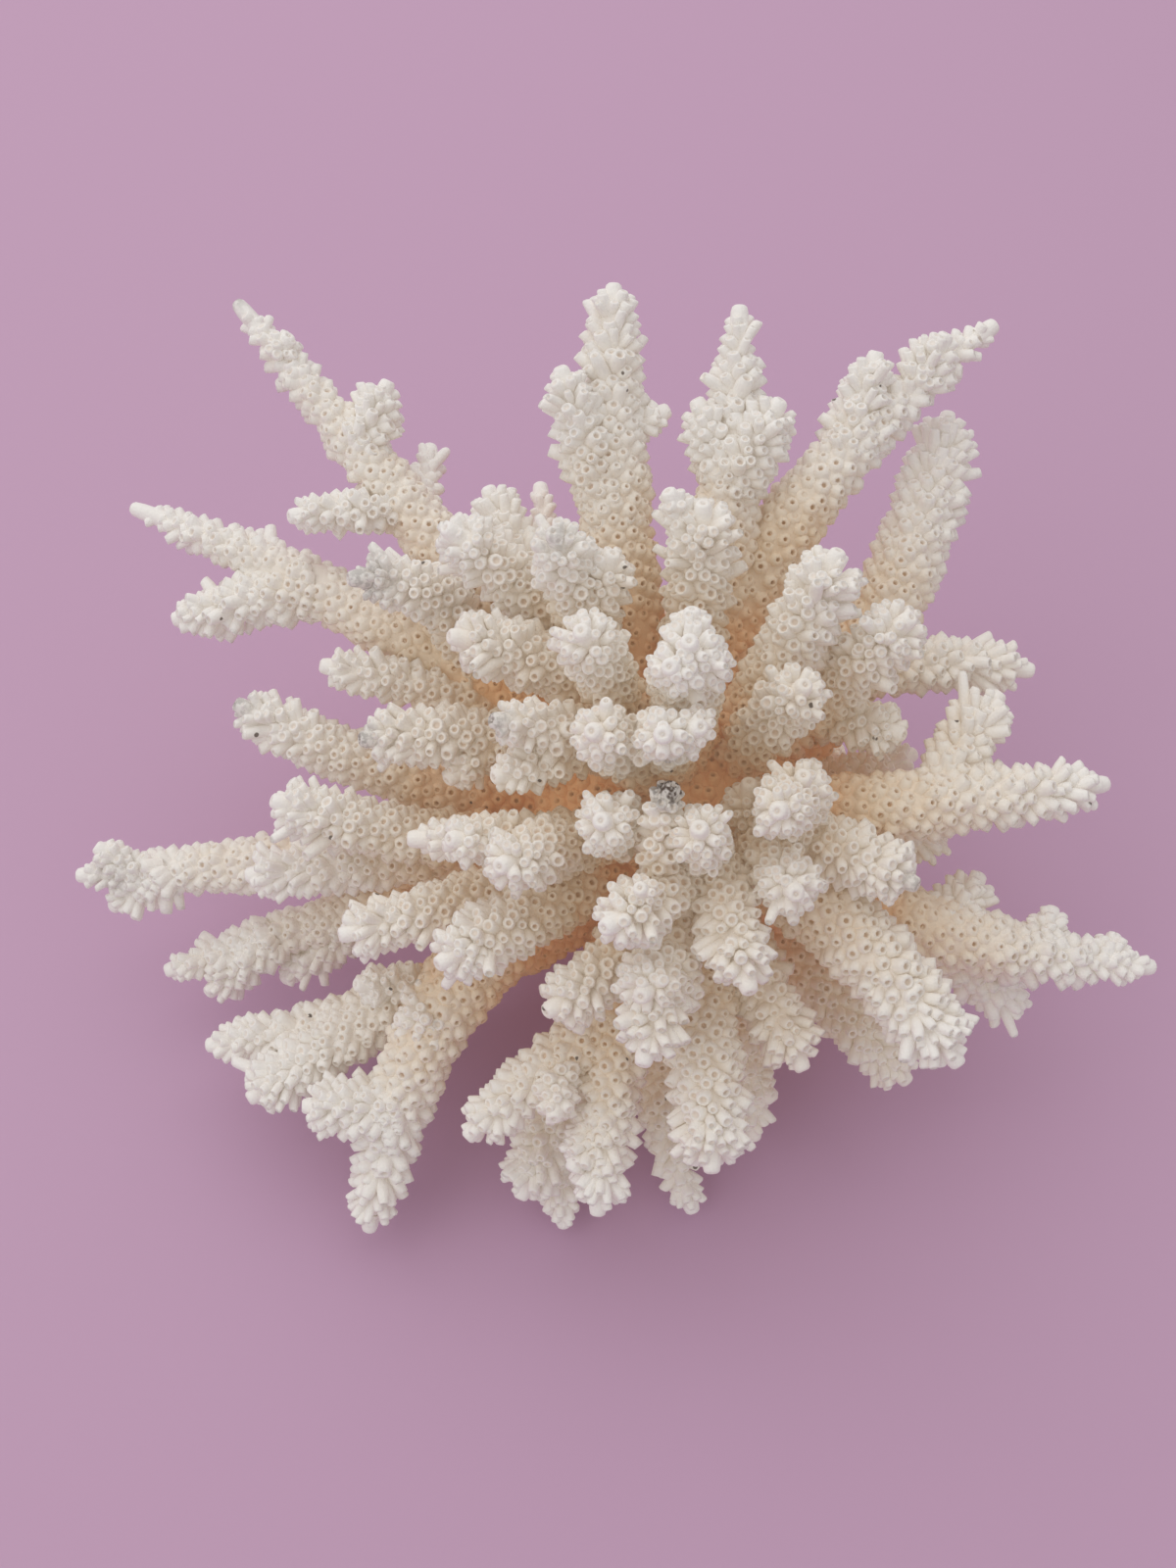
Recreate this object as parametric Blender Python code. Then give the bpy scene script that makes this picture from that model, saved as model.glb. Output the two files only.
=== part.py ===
"""The bleached skeleton of one table coral, cut off flat at its foot so that it stands on a table.

The colony grew as a short stalk with a rounded head.  Its branches fan out from the head in every
direction, and each one points back to the same growth centre inside it.  A branch is a knobbly tube:
the knobs are the cups that the polyps lived in, and they lean towards the branch's tip.  All sizes
in the tables are millimetres and degrees; +Z is up and the colony's front is -Y.
"""

from math import ceil, cos, pi, radians, sin

import bpy
import numpy as np

METRES_PER_MM = 0.001

# The stalk and its head, from the cut foot up: height, radius, and how far the middle has moved
# from the foot's middle towards the head's.
BASE_PROFILE = [
    (0.0, 19.0, 0.0),
    (3.0, 18.2, 0.0),
    (8.0, 16.0, 0.1),
    (14.0, 15.5, 0.3),
    (20.0, 17.0, 0.5),
    (26.0, 19.5, 0.7),
    (32.0, 22.0, 0.9),
    (38.0, 23.0, 1.0),
    (44.0, 22.0, 1.0),
    (49.0, 19.0, 1.0),
    (53.0, 14.0, 1.0),
    (55.5, 7.0, 1.0),
]
HEAD_SHIFT = np.array([-5.0, -4.0, 0.0])
HEAD_TOP = 56.5
PLAIN_RINGS = 2  # the foot's first rings have no knobs
BASE_SEGMENTS = 16
BASE_KNOB, BASE_HOLLOW = 1.04, 0.95

# The branches
GROWTH_CENTRE = np.array([-6.0, -6.0, 28.0])
RING_STEP = 6.6  # from one ring of knobs to the next
SIDES = 6
TWIST = radians(14)  # each ring is turned by this against the one before
HOLLOW = 0.70  # the radius between knobs, as a share of the radius over them
KNOB_LEAN = 1.8  # how far a knob leans towards the tip
NECK = 0.50  # a root is this much thinner, where the branches crowd together at the head,
NECK_START, NECK_END = 36.0, 56.0  # and thickens between these distances from the growth centre
TWIG_NECK = 5.0  # a twig thickens over this length
GAP = 0.3  # between one branch and the next
SEAT_GAP = 0.45  # between a forked branch's root and the stem that carries it, measured square to its line
TAPER = 3  # a branch stays thick and narrows near its tip: the power that its thinning follows
THINNEST = 1.4  # a root starts where there is room for this radius
FINEST_STEP = 1.0  # between the points that a line is worked out at
SHARP_ANGLE = radians(50)  # an edge is shaded sharp above this

# Each branch: what it grows from, the share of that branch's length where it starts, its bearing
# from +X towards +Y, its rise above level, its reach in a straight line, how far it bows to its
# left, how far it arches up, and its radius over the knobs at the root and at the tip.
BRANCHES = {
    # the left side, from the back round to the front
    "back_left_long": ("head", 0, 138, 32, 111, 2, 5, 5.8, 1.5),
    "back_left_inner": ("head", 0, 155, 57, 69, -6, 1, 5.0, 4.2),
    "left_back_long": ("head", 0, 157, 22, 103, -1, 8, 6.2, 1.5),
    "left_back_upper": ("left_back_long", 0.41, 180, 56, 29, -3, 6, 4.6, 3.5),
    "left_upper": ("head", 0, 176, 56, 60, -4, 8, 4.8, 4.8),
    "left_slim": ("head", 0, 170, 30, 65, -4, 3, 4.2, 3.2),
    "left_middle": ("head", 0, 188, 37, 60, -3, 6, 4.8, 4.2),
    "crown_left": ("head", 0, 204, 59, 57, 1, 7, 4.0, 3.4),
    "left_rising": ("head", 0, 176, 23, 75, 3, -3, 4.8, 3.8),
    "left_short": ("head", 0, 192, 25, 69, 4, -2, 4.6, 4.3),
    "left_long": ("head", 0, 187, 2, 99, 1, 0, 6.4, 1.8),
    "left_over": ("head", 0, 194, 10, 71, 2, 3, 4.6, 4.1),
    "left_low": ("head", 0, 195, -7, 89, -2, -2, 5.0, 2.5),
    # the front, from left to right
    "front_left_upper": ("head", 0, 229, 28, 60, 3, 4, 5.0, 4.7),
    "front_left_middle": ("head", 0, 212, 19, 63, 3.5, 3, 4.6, 4.1),
    "front_left_low": ("head", 0, 206, -6, 85, 8, -2, 5.4, 3.0),
    "front_left_long": ("head", 0, 233, -14, 83, -8, 14, 6.6, 3.8),
    "crown_front_left": ("head", 0, 209, 36, 56, 9, 9, 4.2, 3.2),
    "crown_front_knob": ("head", 0, 248, 58, 58, 0, -1, 4.2, 3.9),
    "crown_front": ("head", 0, 255, 45, 61, 8, 3, 4.4, 4.0),
    "crown_stained": ("crown_front", 0.75, 88, 69, 19, 1.5, 0, 3.0, 2.3),
    "front_inner_left": ("head", 0, 247, 26, 55, 7, 2, 4.8, 4.2),
    "front_low_left": ("head", 0, 248, -15, 67, 1, 1, 5.4, 4.8),
    "front_middle": ("head", 0, 260, -2, 68, -1.5, 9, 5.2, 4.3),
    "front_slim": ("front_middle", 0.59, 217, -7, 29, -1, 1, 4.4, 3.6),
    "front_upper": ("head", 0, 264, 25, 60, 3, 10, 4.8, 4.4),
    "front_long": ("head", 0, 274, 10, 66, 1, 6, 5.4, 5.2),
    "front_low": ("head", 0, 274, -22, 65, -5, 3, 4.4, 2.8),
    "front_low_right": ("head", 0, 286, -20, 55, 2, 7, 4.4, 2.4),
    "front_right_upper": ("head", 0, 281, 35, 58, 0, 10, 4.6, 4.4),
    "front_right_inner": ("head", 0, 291, 12, 54, -1, 7, 4.6, 4.2),
    "front_right_long": ("head", 0, 308, 16, 68, 1, 11, 6.4, 5.2),
    "front_right_low": ("head", 0, 311, -7, 59, -1, 3, 4.6, 4.0),
    # the right side, from the front round to the back
    "right_long": ("head", 0, 337, 7, 82, -9, 6, 7.2, 1.8),
    "right_upper": ("head", 0, 319, 36, 56, -2, 7, 5.2, 4.6),
    "crown_front_right": ("head", 0, 293, 47, 57, 4, 0, 4.2, 4.0),
    "right_middle": ("head", 0, 351, 24, 73, -8, 11, 5.8, 3.7),
    "right_fork": ("right_middle", 0.67, 56, 20, 20, 1, -1, 4.6, 4.0),
    "right_back_arc": ("head", 0, 9, 29, 66, 6, 12, 4.8, 4.0),
    "crown_right_star": ("head", 0, 334, 70, 56, 2, -1, 4.2, 4.0),
    "crown_back_right": ("head", 0, 23, 68, 65, -4, 1, 5.0, 4.8),
    "right_back_upper": ("head", 0, 5, 58, 63, 2, -2, 5.0, 4.7),
    # the back, from right to left
    "back_right_long": ("head", 0, 45, 44, 96, 7, 10, 6.2, 1.8),
    "back_right_low": ("head", 0, 46, 39, 82, -11, 1, 6.4, 4.8),
    "back_tall_right": ("head", 0, 79, 54, 86, -3, 6, 6.4, 2.1),
    "crown_back": ("head", 0, 79, 74, 64, -1, -1, 4.8, 4.8),
    "back_tall": ("head", 0, 100, 53, 89, 4, 5, 6.4, 3.4),
    "back_thin": ("head", 0, 114, 32, 62, 6, 5, 3.0, 1.9),
    "right_hidden": ("head", 0, 9, 16, 44, -4, 4, 4.2, 3.4),
    "crown_back_left": ("head", 0, 151, 72, 67, -3, -3, 4.4, 4.0),
    # the crown, over the head
    "crown_left_knob": ("head", 0, 201, 76, 63, -3, 1, 4.4, 4.1),
    "crown_top": ("head", 0, 271, 81, 66, 1, 2, 5.0, 4.0),
    "crown_middle_left": ("head", 0, 236, 68, 61, 0, 3, 4.0, 3.7),
    "crown_middle": ("head", 0, 261, 70, 63, 0, 4, 3.9, 3.4),
    "crown_right_cluster": ("head", 0, 311, 61, 53, 1, -7, 4.4, 4.4),
    "crown_low_right": ("head", 0, 310, 64, 38, -1, -8, 3.8, 3.6),
    "crown_front_stub": ("head", 0, 273, 59, 59, 2, -4, 4.2, 3.8),
}

# The short twigs that are one solid with their branch, and the stubs low on the back of the head:
# the share of the branch's length where each starts, then its bearing, rise, reach, and radius over
# the knobs at the root and at the tip.
TWIGS = {
    "base": [
        (0, 62, 4, 36, 4.6, 4.2),
        (0, 88, 12, 42, 4.6, 4.0),
        (0, 116, 4, 39, 4.6, 4.2),
        (0, 150, -2, 37, 4.4, 4.0),
        (0, 28, -4, 37, 4.6, 4.2),
        (0, 100, -16, 33, 4.2, 3.8),
        (0, 48, -20, 33, 4.2, 3.6),
        (0, 355, -12, 36, 4.4, 4.0),
        (0, 172, -20, 34, 4.2, 3.8),
    ],
    "back_left_long": [
        (0.90, 16, 59, 4, 2.6, 2.2),
        (0.72, 59, 37, 12, 4.4, 2.5),
        (0.59, 87, 0, 17, 2.8, 1.7),
        (0.62, 203, 18, 20, 3.4, 2.6),
    ],
    "back_left_inner": [(0.72, 115, 27, 19, 4.2, 4.0)],
    "left_back_long": [(0.69, 196, -3, 23, 5.0, 2.6), (0.77, 137, -8, 10, 3.6, 2.2)],
    "left_middle": [(0.64, 227, 4, 11, 3.4, 3.4)],
    "crown_left": [(0.82, 110, 18, 4, 2.0, 1.8), (0.62, 213, 20, 20, 3.4, 3.0)],
    "left_long": [(0.90, 157, 31, 8, 3.0, 2.2), (0.85, 205, -24, 12, 4.0, 3.0)],
    "left_low": [(0.79, 217, -20, 15, 4.2, 3.2), (0.59, 212, -26, 21, 4.0, 2.8)],
    "front_left_low": [(0.64, 217, 1, 28, 5.0, 4.1), (0.56, 195, 35, 15, 3.4, 2.4)],
    "front_left_long": [(0.77, 184, 9, 15, 5.0, 3.6), (0.59, 202, 35, 8, 4.4, 3.8)],
    "crown_front_left": [(0.77, 209, 40, 13, 3.4, 3.0), (0.59, 232, 42, 23, 4.4, 4.1)],
    "crown_front": [(0.82, 235, 70, 10, 2.2, 2.0)],
    "front_slim": [(0.38, 267, 20, 12, 3.2, 2.6)],
    "front_low_left": [(0.82, 281, -41, 17, 3.8, 2.0)],
    "front_middle": [(0.79, 237, -9, 10, 3.6, 3.2)],
    "front_upper": [(0.77, 244, 39, 12, 4.2, 3.8)],
    "front_low_right": [(0.79, 306, -8, 7, 2.6, 2.2)],
    "front_right_long": [(0.88, 332, -15, 7, 3.8, 3.0)],
    "right_long": [
        (0.62, 54, 12, 12, 4.2, 3.0),
        (0.79, 70, 15, 8, 3.2, 2.5),
        (0.92, 70, 13, 5, 2.8, 2.3),
        (0.62, 336, -43, 22, 4.8, 3.4),
    ],
    "right_middle": [(0.56, 7, -42, 17, 4.8, 3.8)],
    "right_back_arc": [(0.44, 323, 23, 23, 4.2, 3.6)],
    "back_right_long": [(0.72, 71, 49, 15, 4.6, 2.6), (0.87, 48, 55, 8, 4.0, 2.4)],
    "back_tall_right": [(0.70, 38, 52, 15, 4.8, 3.8), (0.72, 130, 44, 12, 4.4, 2.4)],
    "crown_back": [(0.87, 153, 57, 11, 2.6, 1.8)],
    "back_tall": [(0.60, 125, 54, 26, 4.6, 3.2), (0.74, 25, 16, 10, 2.6, 2.2)],
    "crown_back_left": [(0.69, 26, 72, 14, 4.0, 3.9)],
    "crown_top": [
        (0.82, 242, 55, 12, 3.5, 3.2),
        (0.82, 313, 59, 10, 3.5, 3.2),
        (0.82, 86, 64, 10, 3.2, 2.8),
    ],
    "crown_middle_left": [(0.87, 114, 84, 8, 2.0, 1.8)],
    "crown_middle": [(0.79, 311, 58, 12, 3.1, 2.7)],
    "crown_right_cluster": [(0.85, 244, 51, 17, 3.8, 3.5)],
}

BONE_WHITE = (0.80, 0.74, 0.65, 1.0)
FOOT_CREAM = (0.66, 0.55, 0.43, 1.0)


def clear_scene():
    for obj in list(bpy.data.objects):
        bpy.data.objects.remove(obj)


def coral_stone(name, colour):
    material = bpy.data.materials.new(name)
    material.use_nodes = True
    shader = material.node_tree.nodes["Principled BSDF"]
    shader.inputs["Base Color"].default_value = colour
    shader.inputs["Roughness"].default_value = 0.85
    shader.inputs["Metallic"].default_value = 0.0
    return material


def spine(start, bearing, rise, reach, bow, arch):
    """The middle line of a branch: a straight reach, pushed to its left and upwards by a parabola."""
    across, up = radians(bearing), radians(rise)
    ahead = np.array([cos(up) * cos(across), cos(up) * sin(across), sin(up)])
    left = np.array([-sin(across), cos(across), 0.0])
    above = np.cross(ahead, left)
    share = np.linspace(0, 1, int(reach / FINEST_STEP) + 2)[:, None]
    return start + share * reach * ahead + 4 * share * (1 - share) * (bow * left + arch * above)


def point_at(line, share):
    return line[round(share * (len(line) - 1))]


def thickness(line, root, tip, neck_start, neck_end):
    """The radius over the knobs at each point of the line: thick to near the tip, less at the neck."""
    along = np.arange(len(line)) * FINEST_STEP
    neck = np.interp(along, [neck_start, neck_end], [NECK, 1.0])
    return (root + (tip - root) * np.linspace(0, 1, len(line)) ** TAPER) * neck


def twigs_of(name, line):
    """[(line, radii)] of the twigs that start along a line."""
    grown = []
    for share, bearing, rise, reach, root, tip in TWIGS.get(name, []):
        twig = spine(point_at(line, share), bearing, rise, reach, 0, 0)
        grown.append((twig, thickness(twig, root, tip, 0.0, TWIG_NECK)))
    return grown


def grow():
    """{branch: (line, radii)} from the table."""
    branches = {}
    for name, (parent, share, bearing, rise, reach, bow, arch, root, tip) in BRANCHES.items():
        start, neck = GROWTH_CENTRE, (NECK_START, NECK_END)
        if parent != "head":
            start, neck = point_at(branches[parent][0], share), (0.0, TWIG_NECK)
        line = spine(start, bearing, rise, reach, bow, arch)
        branches[name] = (line, thickness(line, root, tip, *neck))
    return branches


def base_mesh():
    """Rings joined by faces, with a knob at every other point of each ring above the foot."""
    points, faces = [], []
    for row, (height, radius, shift) in enumerate(BASE_PROFILE):
        middle = shift * HEAD_SHIFT + np.array([0.0, 0.0, height])
        for side in range(BASE_SEGMENTS):
            angle = 2 * pi * side / BASE_SEGMENTS
            share = 1.0
            if row >= PLAIN_RINGS:
                share = BASE_KNOB if (row + side) % 2 == 0 else BASE_HOLLOW
            points.append(middle + share * radius * np.array([cos(angle), sin(angle), 0.0]))
    foot_middle, top_middle = len(points), len(points) + 1
    points += [np.zeros(3), HEAD_SHIFT + np.array([0.0, 0.0, HEAD_TOP])]
    rings = len(BASE_PROFILE)
    last = (rings - 1) * BASE_SEGMENTS
    for side in range(BASE_SEGMENTS):
        beside = (side + 1) % BASE_SEGMENTS
        faces.append((foot_middle, beside, side))
        faces.append((top_middle, last + side, last + beside))
    return np.array(points), faces + wall_faces(0, rings, BASE_SEGMENTS)


def wall_faces(first, rings, sides):
    """The faces between rings of points, cut so that each knob stays a peak between its hollows."""
    faces = []
    for row in range(rings - 1):
        for side in range(sides):
            beside = (side + 1) % sides
            low, high = first + row * sides, first + (row + 1) * sides
            faces += split_quad(low + side, low + beside, high + beside, high + side, (row + side) % 2 == 0)
    return faces


def split_quad(a, b, c, d, first_is_knob):
    """Two triangles whose shared edge joins the hollows, so that each knob stays a peak."""
    if first_is_knob:
        return [(a, b, d), (b, c, d)]
    return [(a, b, c), (a, c, d)]


def surface_points(points, faces):
    """Points spread evenly over a mesh's triangles."""
    steps = np.linspace(0, 1, 6)
    shares = np.array([(a, b, 1 - a - b) for a in steps for b in steps if a + b < 1.001])
    return (shares[None] @ points[np.array(faces)]).reshape(-1, 3)


def fitted(line, radii, others):
    """The part of a branch that has room between the others, thinned where they leave less."""
    middles = np.concatenate([middle for middle, _ in others])
    reaches = np.concatenate([reach for _, reach in others])
    apart = np.linalg.norm(line[:, None] - middles[None], axis=2) - reaches[None]
    room = apart.min(axis=1) - GAP
    start = int(np.nonzero(room < THINNEST)[0].max(initial=-1)) + 1
    return line[start:], np.minimum(radii, room)[start:]


def frames(line):
    """Two directions across the line at each point, carried along it without twisting."""
    ahead = np.gradient(line, axis=0)
    ahead /= np.linalg.norm(ahead, axis=1)[:, None]
    start = np.cross(ahead[0], [0.0, 0.0, 1.0])
    if np.linalg.norm(start) < 0.1:
        start = np.cross(ahead[0], [1.0, 0.0, 0.0])
    first = [start / np.linalg.norm(start)]
    for direction in ahead[1:]:
        carried = first[-1] - np.dot(first[-1], direction) * direction
        first.append(carried / np.linalg.norm(carried))
    first = np.array(first)
    return ahead, first, np.cross(ahead, first)


def branch_mesh(line, radii, swell=0.0):
    """Rings of knobs and hollows by turns along the line, a pointed root and a blunt tip; swell
    pushes the whole wall that far out."""
    ahead, across, other = frames(line)
    end = len(line) - 1 - round(0.5 * radii[-1] / FINEST_STEP)
    rings = max(2, ceil(end * FINEST_STEP / RING_STEP) + 1)
    points = [line[0] - 0.6 * radii[0] * ahead[0]]
    for row, place in enumerate(np.linspace(0, end, rings)):
        at = round(place)
        for side in range(SIDES):
            is_knob = (row + side) % 2 == 0
            angle = 2 * pi * side / SIDES + row * TWIST
            outward = cos(angle) * across[at] + sin(angle) * other[at]
            reach = radii[at] * (1.0 if is_knob else HOLLOW) + swell
            lean = KNOB_LEAN if is_knob and row > 0 else 0.0
            points.append(line[at] + reach * outward + lean * ahead[at])
    points.append(line[-1] + 0.5 * ahead[-1])
    faces = wall_faces(1, rings, SIDES)
    last = 1 + (rings - 1) * SIDES
    for side in range(SIDES):
        beside = (side + 1) % SIDES
        faces.append((0, 1 + beside, 1 + side))
        faces.append((len(points) - 1, last + side, last + beside))
    return np.array(points), faces


def add_solid(name, points, faces, material):
    mesh = bpy.data.meshes.new(name)
    mesh.from_pydata([tuple(point * METRES_PER_MM) for point in points], [], faces)
    mesh.validate()
    mesh.shade_smooth()
    mesh.set_sharp_from_angle(angle=SHARP_ANGLE)
    mesh.materials.append(material)
    solid = bpy.data.objects.new(name, mesh)
    bpy.context.scene.collection.objects.link(solid)
    return solid


def combine(solid, helper, operation):
    """Joins a helper to a solid or cuts it away; the helper itself stays hidden."""
    helper.hide_render = True
    helper.display_type = "WIRE"
    change = solid.modifiers.new(helper.name, "BOOLEAN")
    change.operation = operation
    change.solver = "EXACT"
    change.object = helper


def fuse_twigs(stem, twigs, material):
    """Makes each twig one solid with its stem."""
    for number, (line, radii) in enumerate(twigs, 1):
        twig = add_solid(f"{stem.name}_twig_{number}", *branch_mesh(line, radii), material)
        combine(stem, twig, "UNION")


def cut_seat(branch, stem_line, stem_radii, material):
    """Cuts a branch's root to the shape of the stem that it grows from, a gap away."""
    stem = branch_mesh(stem_line, stem_radii, SEAT_GAP)
    combine(branch, add_solid(branch.name + "_seat", *stem, material), "DIFFERENCE")


def build():
    clear_scene()
    skeleton = coral_stone("bleached coral skeleton", BONE_WHITE)
    foot = coral_stone("cut coral foot", FOOT_CREAM)
    points, faces = base_mesh()
    stubs = twigs_of("base", [GROWTH_CENTRE])
    fuse_twigs(add_solid("base", points, faces, foot), stubs, foot)

    crust = surface_points(points, faces)
    placed = {"head": [(crust, np.zeros(len(crust)))] + stubs}
    for name, (line, radii) in grow().items():
        parent = BRANCHES[name][0]
        stem = None if parent == "head" else placed[parent][0]
        twigs = twigs_of(name, line)
        others = [tube for tubes in placed.values() for tube in tubes if tube is not stem]
        line, radii = fitted(line, radii, others)
        branch = add_solid(name, *branch_mesh(line, radii), skeleton)
        if stem:
            cut_seat(branch, *stem, skeleton)
        fuse_twigs(branch, twigs, skeleton)
        placed[name] = [(line, radii)] + twigs


build()
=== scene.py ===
from collections import namedtuple
from math import cos, pi, radians, sin, sqrt

import bpy
import numpy as np
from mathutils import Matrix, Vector


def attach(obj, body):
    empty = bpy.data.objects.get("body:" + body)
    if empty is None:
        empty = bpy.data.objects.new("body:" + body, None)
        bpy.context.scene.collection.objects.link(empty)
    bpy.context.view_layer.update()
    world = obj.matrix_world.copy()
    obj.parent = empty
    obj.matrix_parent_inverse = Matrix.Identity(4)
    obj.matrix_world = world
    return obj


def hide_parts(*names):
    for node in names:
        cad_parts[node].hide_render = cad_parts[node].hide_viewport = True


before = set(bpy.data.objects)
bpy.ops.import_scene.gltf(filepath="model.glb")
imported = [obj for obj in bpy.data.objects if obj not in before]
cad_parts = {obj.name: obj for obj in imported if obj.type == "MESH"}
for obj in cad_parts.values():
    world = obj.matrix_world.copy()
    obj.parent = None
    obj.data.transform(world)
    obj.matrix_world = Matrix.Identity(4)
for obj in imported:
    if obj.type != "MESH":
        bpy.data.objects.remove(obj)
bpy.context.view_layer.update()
bpy.context.scene.view_settings.view_transform = "Standard"


# The camera looks down on the crown from just in front of the coral, as a person leaning over the
# table sees it.  Its lens takes in the whole spread of the branches with some table round them.
CAMERA_PLACE = (-0.0192, -0.1378, 0.2518)
CAMERA_TILT = radians(32)  # from straight down towards level
LENS_ANGLE = radians(55)  # from the bottom of the frame to its top

lens = bpy.data.cameras.new("camera")
lens.sensor_fit = "VERTICAL"
lens.angle = LENS_ANGLE
lens.clip_start = 0.01
camera = bpy.data.objects.new("camera", lens)
camera.location = CAMERA_PLACE
camera.rotation_euler = (CAMERA_TILT, 0.0, 0.0)
bpy.context.scene.collection.objects.link(camera)
bpy.context.scene.camera = camera


# The table is a wide plain sheet of pale paper, lit by one big soft window of light above and behind
# the coral, a weaker one on the left, and an even glow from all round.  Here and for the camera,
# lengths are metres; powers are watts.
PAPER = "#c9a5c0"
SHEET_HALF = 3.0
WINDOW_POWER, WINDOW_SIZE, WINDOW_PLACE = 3.2, 1.2, (-0.15, 0.40, 0.80)
FILL_POWER, FILL_SIZE, FILL_PLACE = 1.6, 0.8, (-0.70, -0.45, 0.75)
GLOW, GLOW_COLOUR = 0.56, (1.0, 0.98, 0.99, 1.0)
AIM = (0.0, 0.0, 0.04)  # the lamps face this point inside the coral


def colour(code):
    """A colour written as sRGB hex, as the linear red, green, blue and alpha that a socket takes."""
    shares = [int(code[at:at + 2], 16) / 255 for at in (1, 3, 5)]
    return [c / 12.92 if c <= 0.04045 else ((c + 0.055) / 1.055) ** 2.4 for c in shares] + [1.0]


def add_node(tree, kind, inputs=(), **settings):
    """Adds a node of that kind, sets its own settings, and gives each input a value or a link."""
    node = tree.nodes.new(kind)
    for name, value in settings.items():
        setattr(node, name, value)
    for name, value in dict(inputs).items():
        if isinstance(value, bpy.types.NodeSocket):
            tree.links.new(value, node.inputs[name])
        else:
            node.inputs[name].default_value = value
    return node


def matt_paper():
    """Uncoated paper, pressed and matt: an even pale colour with no gloss."""
    material = bpy.data.materials.new("matt pale paper")
    material.use_nodes = True
    shader = material.node_tree.nodes["Principled BSDF"]
    shader.inputs["Base Color"].default_value = colour(PAPER)
    shader.inputs["Roughness"].default_value = 0.9
    shader.inputs["Specular IOR Level"].default_value = 0.2
    return material


def soft_light(name, power, size, place):
    """A square lamp at that place, facing the coral."""
    lamp = bpy.data.lights.new(name, "AREA")
    lamp.energy = power
    lamp.size = size
    light = bpy.data.objects.new(name, lamp)
    light.location = place
    light.rotation_euler = (Vector(AIM) - Vector(place)).to_track_quat("-Z", "Y").to_euler()
    bpy.context.scene.collection.objects.link(light)


sheet_mesh = bpy.data.meshes.new("table_sheet")
corners = [(-1, -1), (1, -1), (1, 1), (-1, 1)]
sheet_mesh.from_pydata([(x * SHEET_HALF, y * SHEET_HALF, 0.0) for x, y in corners], [], [(0, 1, 2, 3)])
sheet_mesh.materials.append(matt_paper())
sheet = bpy.data.objects.new("table_sheet", sheet_mesh)
bpy.context.scene.collection.objects.link(sheet)

soft_light("window", WINDOW_POWER, WINDOW_SIZE, WINDOW_PLACE)
soft_light("left_fill", FILL_POWER, FILL_SIZE, FILL_PLACE)

world = bpy.data.worlds.new("glow")
bpy.context.scene.world = world
world.use_nodes = True
sky = world.node_tree
sky.nodes.clear()
ray = add_node(sky, "ShaderNodeLightPath")
seen = add_node(sky, "ShaderNodeMath",
                {0: ray.outputs["Is Camera Ray"], 1: ray.outputs["Is Glossy Ray"]}, operation="MAXIMUM")
even = add_node(sky, "ShaderNodeBackground", {"Color": GLOW_COLOUR, "Strength": GLOW})
backdrop = add_node(sky, "ShaderNodeBackground", {"Color": colour(PAPER), "Strength": 1.0})
shown = add_node(sky, "ShaderNodeMixShader",
                 {0: seen.outputs[0], 1: even.outputs[0], 2: backdrop.outputs[0]})
add_node(sky, "ShaderNodeOutputWorld", {"Surface": shown.outputs[0]})


# The colony's plan of growth, the same that its solids follow.  It is one skeleton, which its
# polyps laid down as they budded: a stalk with a rounded head, and branches that fan out from one
# growth centre inside it.  Sizes are millimetres and degrees; +Z is up and the front is -Y.
BASE_PROFILE = [  # height, radius, and the share of HEAD_SHIFT that the middle has moved there
    (0.0, 19.0, 0.0),
    (3.0, 18.2, 0.0),
    (8.0, 16.0, 0.1),
    (14.0, 15.5, 0.3),
    (20.0, 17.0, 0.5),
    (26.0, 19.5, 0.7),
    (32.0, 22.0, 0.9),
    (38.0, 23.0, 1.0),
    (44.0, 22.0, 1.0),
    (49.0, 19.0, 1.0),
    (53.0, 14.0, 1.0),
    (55.5, 7.0, 1.0),
    (56.5, 0.0, 1.0),
]
HEAD_SHIFT = np.array([-5.0, -4.0, 0.0])  # from the middle of the foot to the middle of the head
GROWTH_CENTRE = np.array([-6.0, -6.0, 28.0])

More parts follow.
